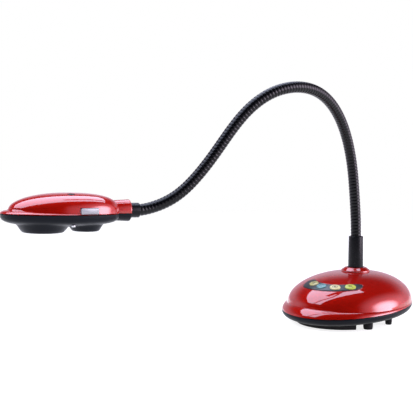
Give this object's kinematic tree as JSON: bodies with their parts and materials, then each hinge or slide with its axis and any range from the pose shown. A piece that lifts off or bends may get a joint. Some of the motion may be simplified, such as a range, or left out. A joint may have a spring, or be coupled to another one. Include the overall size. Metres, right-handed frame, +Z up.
{
  "type": "document camera",
  "caption": "Document camera: weighted oval base with a four-key pad, black flexible gooseneck and a slim pebble-shaped head with lens, lamp and switch.",
  "frame": {"origin": "on the table plane, in the middle of the footprint of the whole object with its neck bent forward", "axes": "+Z up; -Y is the front of the base, the side that its rim flange widens to and the neck reaches over; +X is the base's right side, seen from its rear"},
  "size_m": [0.2069, 0.4858, 0.2794],
  "materials": {
    "red_gloss": "glossy injection-moulded shell",
    "grey_case": "satin moulded plastic",
    "foot_rubber": "soft matt rubber",
    "gooseneck_black": "black coated spiral steel",
    "black_plastic": "satin black plastic",
    "panel_grey": "satin dark grey keypad bezel",
    "key_yellow": "satin translucent key",
    "key_blue": "satin translucent key",
    "key_cream": "satin translucent key",
    "key_green": "satin translucent key",
    "switch_white": "pale key",
    "steel": "zinc-plated steel",
    "board_green": "glass-fibre circuit board",
    "lens_glass": "coated optical glass",
    "lamp_white": "opal diffuser"
  },
  "bodies": {
    "base": {"base_top_shell": "red_gloss", "base_lower_case": "grey_case", "base_screw_1": "steel", "base_screw_2": "steel", "base_screw_3": "steel", "front_foot_pad": "foot_rubber", "side_foot_right": "foot_rubber", "side_foot_left": "foot_rubber", "mid_foot_right": "foot_rubber", "mid_foot_left": "foot_rubber", "rear_foot_right": "foot_rubber", "rear_foot_left": "foot_rubber", "ballast_plate": "steel", "control_board": "board_green", "keypad_panel": "panel_grey", "keypad_mat": "foot_rubber", "rear_port_plate": "panel_grey", "power_jack": "black_plastic", "usb_socket": "steel", "video_socket": "steel", "neck_collar": "red_gloss", "neck_boot": "black_plastic", "neck_stud": "steel", "neck_lock_nut": "steel", "neck_link_00": "gooseneck_black"},
    "neck_seg_01": {"neck_link_01": "gooseneck_black"},
    "neck_seg_02": {"neck_link_02": "gooseneck_black"},
    "neck_seg_03": {"neck_link_03": "gooseneck_black"},
    "neck_seg_04": {"neck_link_04": "gooseneck_black"},
    "neck_seg_05": {"neck_link_05": "gooseneck_black"},
    "neck_seg_06": {"neck_link_06": "gooseneck_black"},
    "neck_seg_07": {"neck_link_07": "gooseneck_black"},
    "neck_seg_08": {"neck_link_08": "gooseneck_black"},
    "neck_seg_09": {"neck_link_09": "gooseneck_black"},
    "neck_seg_10": {"neck_link_10": "gooseneck_black"},
    "neck_seg_11": {"neck_link_11": "gooseneck_black"},
    "neck_seg_12": {"neck_link_12": "gooseneck_black"},
    "neck_seg_13": {"neck_link_13": "gooseneck_black"},
    "neck_seg_14": {"neck_link_14": "gooseneck_black"},
    "head": {"neck_link_15": "gooseneck_black", "head_ferrule": "black_plastic", "head_lock_nut": "steel", "head_collar_upper": "red_gloss", "head_collar_lower": "grey_case", "head_top_shell": "red_gloss", "head_lower_shell": "grey_case", "lens_window": "lens_glass", "lens_barrel": "black_plastic", "lens_element": "lens_glass", "camera_board": "board_green", "lamp_board": "board_green", "lamp_diffuser": "lamp_white", "microphone_grille": "black_plastic", "head_screw_1": "steel", "head_screw_2": "steel"},
    "key_yellow": {"button_yellow": "key_yellow"},
    "key_blue": {"button_blue": "key_blue"},
    "key_cream": {"button_cream": "key_cream"},
    "key_green": {"button_green": "key_green"},
    "lamp_key": {"lamp_switch": "switch_white"}
  },
  "joints": [
    {"name": "neck_root_bend", "type": "hinge", "parent": "base", "child": "neck_seg_01", "pos_m": [0.03222, 0.1709, 0.11599], "axis": [-0.968, 0.251, 0], "range_deg": [-3, 9]},
    {"name": "neck_root_sway", "type": "hinge", "parent": "neck_seg_01", "child": "neck_seg_02", "pos_m": [0.03181, 0.1684, 0.14763], "axis": [0.2495, 0.9622, 0.1094], "range_deg": [-10, 10]},
    {"name": "neck_root_bend_2", "type": "hinge", "parent": "neck_seg_02", "child": "neck_seg_03", "pos_m": [0.03175, 0.16386, 0.17902], "axis": [-0.968, 0.251, 0], "range_deg": [-3, 9]},
    {"name": "neck_root_sway_2", "type": "hinge", "parent": "neck_seg_03", "child": "neck_seg_04", "pos_m": [0.0331, 0.1537, 0.20899], "axis": [0.2286, 0.8815, 0.4131], "range_deg": [-10, 10]},
    {"name": "neck_root_bend_3", "type": "hinge", "parent": "neck_seg_04", "child": "neck_seg_05", "pos_m": [0.03614, 0.13635, 0.23528], "axis": [-0.968, 0.251, 0], "range_deg": [-3, 9]},
    {"name": "neck_crown_bend", "type": "hinge", "parent": "neck_seg_05", "child": "neck_seg_06", "pos_m": [0.03984, 0.11251, 0.25575], "axis": [-0.968, 0.251, 0], "range_deg": [-4, 9]},
    {"name": "neck_crown_bend_2", "type": "hinge", "parent": "neck_seg_06", "child": "neck_seg_07", "pos_m": [0.04219, 0.08379, 0.26878], "axis": [-0.968, 0.251, 0], "range_deg": [-4, 9]},
    {"name": "neck_crown_bend_3", "type": "hinge", "parent": "neck_seg_07", "child": "neck_seg_08", "pos_m": [0.04013, 0.05253, 0.27261], "axis": [-0.968, 0.251, 0], "range_deg": [-4, 9]},
    {"name": "neck_crown_bend_4", "type": "hinge", "parent": "neck_seg_08", "child": "neck_seg_09", "pos_m": [0.03218, 0.02272, 0.26605], "axis": [-0.968, 0.251, 0], "range_deg": [-4, 9]},
    {"name": "neck_tip_bend", "type": "hinge", "parent": "neck_seg_09", "child": "neck_seg_10", "pos_m": [0.02084, -0.00121, 0.24893], "axis": [0.968, -0.251, 0], "range_deg": [-6, 9]},
    {"name": "neck_tip_sway", "type": "hinge", "parent": "neck_seg_10", "child": "neck_seg_11", "pos_m": [0.01051, -0.01955, 0.22522], "axis": [-0.1976, -0.762, 0.6167], "range_deg": [-12, 12]},
    {"name": "neck_tip_bend_2", "type": "hinge", "parent": "neck_seg_11", "child": "neck_seg_12", "pos_m": [0.00176, -0.03617, 0.19963], "axis": [0.968, -0.251, 0], "range_deg": [-6, 9]},
    {"name": "neck_tip_sway_2", "type": "hinge", "parent": "neck_seg_12", "child": "neck_seg_13", "pos_m": [-0.00755, -0.05404, 0.17513], "axis": [-0.1835, -0.7078, 0.6822], "range_deg": [-12, 12]},
    {"name": "neck_tip_bend_3", "type": "hinge", "parent": "neck_seg_13", "child": "neck_seg_14", "pos_m": [-0.0201, -0.07426, 0.15423], "axis": [0.968, -0.251, 0], "range_deg": [-6, 9]},
    {"name": "neck_tip_bend_4", "type": "hinge", "parent": "neck_seg_14", "child": "head", "pos_m": [-0.03591, -0.09783, 0.14126], "axis": [0.968, -0.251, 0], "range_deg": [-6, 9]},
    {"name": "yellow_key_press", "type": "slide", "parent": "base", "child": "key_yellow", "axis": [0.0739, 0.3695, -0.9263], "range_m": [0, 0.001], "stiffness_N_per_m": 900, "springref_m": -0.0006},
    {"name": "blue_key_press", "type": "slide", "parent": "base", "child": "key_blue", "axis": [-0.0519, 0.3993, -0.9153], "range_m": [0, 0.001], "stiffness_N_per_m": 900, "springref_m": -0.0006},
    {"name": "cream_key_press", "type": "slide", "parent": "base", "child": "key_cream", "axis": [-0.2026, 0.3711, -0.9062], "range_m": [0, 0.001], "stiffness_N_per_m": 900, "springref_m": -0.0006},
    {"name": "green_key_press", "type": "slide", "parent": "base", "child": "key_green", "axis": [-0.315, 0.2966, -0.9016], "range_m": [0, 0.001], "stiffness_N_per_m": 900, "springref_m": -0.0006},
    {"name": "lamp_switch_press", "type": "slide", "parent": "head", "child": "lamp_key", "axis": [-0.9832, 0.1823, 0.0037], "range_m": [0, 0.001], "stiffness_N_per_m": 900, "springref_m": -0.0006}
  ],
  "couplings": [
    {"joint": "neck_root_bend_2", "follows": "neck_root_bend", "ratio": 1},
    {"joint": "neck_root_sway_2", "follows": "neck_root_sway", "ratio": 1},
    {"joint": "neck_root_bend_3", "follows": "neck_root_bend", "ratio": 1},
    {"joint": "neck_crown_bend_2", "follows": "neck_crown_bend", "ratio": 1},
    {"joint": "neck_crown_bend_3", "follows": "neck_crown_bend", "ratio": 1},
    {"joint": "neck_crown_bend_4", "follows": "neck_crown_bend", "ratio": 1},
    {"joint": "neck_tip_bend_2", "follows": "neck_tip_bend", "ratio": 1},
    {"joint": "neck_tip_sway_2", "follows": "neck_tip_sway", "ratio": 1},
    {"joint": "neck_tip_bend_3", "follows": "neck_tip_bend", "ratio": 1},
    {"joint": "neck_tip_bend_4", "follows": "neck_tip_bend", "ratio": 1}
  ]
}
